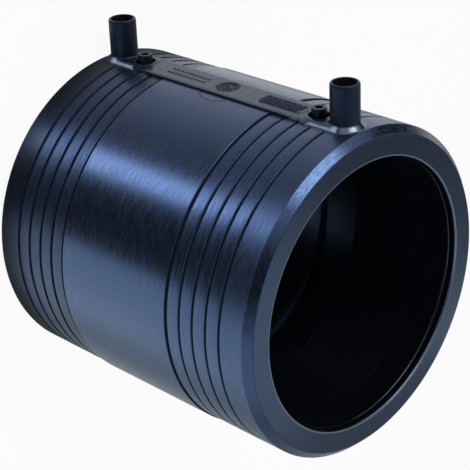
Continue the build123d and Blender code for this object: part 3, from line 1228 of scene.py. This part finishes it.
# %% Seat
SEAT_R = 0.062
SEAT_EDGE = 0.012        # the seat is cut straight here
SEAT_HEIGHT = -0.0002
SEAT_SHADE = 0.03
SEAT_PLACES = 96
seat_places = []
for step in range(SEAT_PLACES):
    angle = math.tau * step / SEAT_PLACES
    across = min(SEAT_R * math.sin(angle), SEAT_EDGE)
    seat_places.append((SEAT_R * math.cos(angle), across, SEAT_HEIGHT))
seat_face = tuple(range(SEAT_PLACES))
tree, surface = stage_piece("seat", seat_places, [seat_face], seen=False)[1:]
tree.links.new(paper(tree, SEAT_SHADE).outputs[0], surface)
print(f"the seat leaves {BORE_R - SEAT_EDGE / MM:.1f} mm of the bore open behind its edge")

# %% [markdown]
# ## Two lamps
# A softbox is a large flat lamp, and on shiny plastic it shows up as a bright shape. The narrow lower
# one draws the long highlight down the barrel. The wide upper one is warmer and stands in front, where
# the terminals point. It lights the chamfer of the near end and the feet of the shrouds.

# %% Lamps
AIM = Vector((0.0, 0.0, MIDDLE * MM))
COOL_LAMP = (0.86, 0.93, 1.0)
WARM_LAMP = (1.0, 0.97, 0.88)


def direction(azimuth, elevation):
    """Unit vector. Azimuth 0 points to -Y and 90 to +X, in degrees."""
    a = math.radians(azimuth)
    e = math.radians(elevation)
    return Vector((math.sin(a) * math.cos(e), -math.cos(a) * math.cos(e), math.sin(e)))


def softbox(name, azimuth, elevation, distance, width, height, brightness, tint):
    """A rectangular lamp that faces the coupler. Brightness 1 looks white in a mirror."""
    lamp = bpy.data.lights.new(name, "AREA")
    lamp.shape = "RECTANGLE"
    lamp.size = width
    lamp.size_y = height
    lamp.energy = brightness * math.pi * width * height
    lamp.color = tint
    box = bpy.data.objects.new(name, lamp)
    bpy.context.scene.collection.objects.link(box)
    towards = direction(azimuth, elevation)
    box.location = AIM + towards * distance
    box.rotation_euler = towards.to_track_quat("Z", "Y").to_euler()
    box.visible_camera = False


softbox("key_low", azimuth=37, elevation=-40, distance=1.5,
        width=0.27, height=1.3, brightness=5.4, tint=COOL_LAMP)
softbox("key_high", azimuth=-9, elevation=41, distance=1.5,
        width=0.9, height=0.42, brightness=8.4, tint=WARM_LAMP)
print("lamps:", len(bpy.data.lights))

# %% [markdown]
# ## Black cards
# The room is white in every direction, also in the plastic's reflections. Three curved black cards
# take the white out of the parts that should read as black. The lower one stands in front of the
# tube and has a soft edge, so that the reflection fades round the barrel instead of stopping short.
# A black ring of card lies round the foot of the tube, where a real table is in its own shade.

# %% A card that only reflections see
CARD_BLACK = 0.002


def card_piece(name, places, quads, cover):
    """A black card. cover(tree, x, y) gives how opaque it is at a place."""
    card, tree, surface = stage_piece(name, places, quads, seen=False)
    card.visible_diffuse = False
    card.visible_shadow = False
    split = tree.nodes.new("ShaderNodeSeparateXYZ")
    tree.links.new(tree.nodes.new("ShaderNodeTexCoord").outputs["Object"], split.inputs[0])
    opacity = cover(tree, split.outputs["X"], split.outputs["Y"])
    clear = tree.nodes.new("ShaderNodeBsdfTransparent")
    tree.links.new(mix(tree, opacity, clear, paper(tree, CARD_BLACK)).outputs[0], surface)


def patch(rows, lines):
    """Quads between rows of equally many places."""
    return [
        (a, a + 1, a + lines + 1, a + lines)
        for row in range(rows - 1)
        for a in range(row * lines, row * lines + lines - 1)
    ]

# %% Curved black cards
CARD_DISTANCE = 1.9      # metres, behind the lamps
CARD_PLACES = 13         # along each side


def black_card(name, azimuths, elevations, soft_edge):
    """A card bent round the coupler. It turns opaque between the two azimuths of its soft edge."""
    places = [
        AIM + direction(azimuth, elevation) * CARD_DISTANCE
        for azimuth in np.linspace(*azimuths, CARD_PLACES)
        for elevation in np.linspace(*elevations, CARD_PLACES)
    ]
    start, end = (math.radians(value) for value in soft_edge)

    def cover(tree, x, y):
        azimuth = combine(tree, "ARCTAN2", x, combine(tree, "MULTIPLY", y, -1.0))
        return ramp(tree, azimuth, start, end, 0.0, 1.0)

    card_piece(name, places, patch(CARD_PLACES, CARD_PLACES), cover)


black_card("card_low", (-62, 100), (-80, -2), soft_edge=(-60, 50))
black_card("card_high", (42, 100), (20, 78), soft_edge=(42, 50))
black_card("card_left", (-100, -50), (2, 24), soft_edge=(-101, -100))
print("curved cards of", (CARD_PLACES - 1) ** 2, "faces each")

# %% Black ring on the table
RING_INNER = 0.0665
RING_OUTER = 0.088
RING_FADE = 0.07         # the ring starts to fade at this radius
RING_OPACITY = 0.85
RING_HEIGHT = -0.0001
RING_PLACES = 97


def ring_cover(tree, x, y):
    """Opaque close to the tube, gone at the outer edge."""
    radius = distance_from_axis(tree, x, y)
    return ramp(tree, radius, RING_FADE, RING_OUTER, RING_OPACITY, 0.0)


ring_places = [
    (radius * math.cos(angle), radius * math.sin(angle), RING_HEIGHT)
    for radius in (RING_INNER, RING_OUTER)
    for angle in np.linspace(0, math.tau, RING_PLACES)
]
card_piece("ring_of_card", ring_places, patch(2, RING_PLACES), ring_cover)
print("ring of card:", round(1000 * (RING_OUTER - RING_INNER), 1), "mm wide")

# %% [markdown]
# ## The white board
# The side of the tube that faces away from the terminals lies close to a white board. The board
# gives the lower flank its long pale reflection and fades out above the end face. Close behind the
# tube it is dimmer, as paper is under an object that rests on it.

# %% White board
BOARD_Y = 0.072          # metres
BOARD_HALF = 0.8
BOARD_BOTTOM = -0.9
BOARD_TOP = 0.42
BOARD_BRIGHTNESS = 1.5
BOARD_TINT = (0.8, 0.9, 0.92, 1)
board_places = [
    (-BOARD_HALF, BOARD_Y, BOARD_BOTTOM),
    (BOARD_HALF, BOARD_Y, BOARD_BOTTOM),
    (BOARD_HALF, BOARD_Y, BOARD_TOP),
    (-BOARD_HALF, BOARD_Y, BOARD_TOP),
]
board, tree, surface = stage_piece("white_board", board_places, [(0, 1, 2, 3)], seen=False)
board.visible_shadow = False
split = tree.nodes.new("ShaderNodeSeparateXYZ")
tree.links.new(tree.nodes.new("ShaderNodeTexCoord").outputs["Object"], split.inputs[0])
x, z = split.outputs["X"], split.outputs["Z"]

# close behind the tube
sideways = ramp(tree, combine(tree, "ABSOLUTE", x, 0.0), 0.06, 0.12, 1.0, 0.0)
behind = combine(tree, "MULTIPLY", sideways, ramp(tree, z, 0.155, 0.205, 0.6, 0.0))
# towards the board's upper and left edges
upwards = ramp(tree, z, 0.3, BOARD_TOP, BOARD_BRIGHTNESS, 0.0)
fading = combine(tree, "MULTIPLY", upwards, ramp(tree, x, -0.23, -0.04, 0.28, 1.0))
brightness = combine(tree, "MULTIPLY", combine(tree, "SUBTRACT", 1.0, behind), fading)
glow = add_node(tree, "ShaderNodeEmission", in_Color=BOARD_TINT)
tree.links.new(brightness, glow.inputs["Strength"])
tree.links.new(glow.outputs[0], surface)
print("white board:", round(BOARD_Y / MM - BARREL_R, 1), "mm behind the barrel")

# %% [markdown]
# ## The room
# The world has two lights in one. The camera and mirror-like reflections see plain white, so the
# picture has a white ground and glossy plastic shows it too. Matt surfaces get a softer, slightly
# blue light, which leaves the lamps in charge of the shape.

# %% World
SOFT_LIGHT = 0.3
world = bpy.data.worlds.new("room")
bpy.context.scene.world = world
world.use_nodes = True
room = world.node_tree
room.nodes.clear()
soft_light = add_node(room, "ShaderNodeBackground", in_Color=(0.9, 0.95, 1.0, 1),
                      in_Strength=SOFT_LIGHT)
white_light = add_node(room, "ShaderNodeBackground", in_Color=(1, 1, 1, 1), in_Strength=1.0)
ray = room.nodes.new("ShaderNodeLightPath").outputs
seen = combine(room, "MAXIMUM", ray["Is Camera Ray"], ray["Is Transmission Ray"])
seen = combine(room, "MAXIMUM", seen, ray["Is Glossy Ray"])
room_output = room.nodes.new("ShaderNodeOutputWorld")
room_light = mix(room, seen, soft_light, white_light)
room.links.new(room_light.outputs[0], room_output.inputs["Surface"])
bpy.context.scene.view_settings.view_transform = "Standard"
print("soft light:", SOFT_LIGHT)
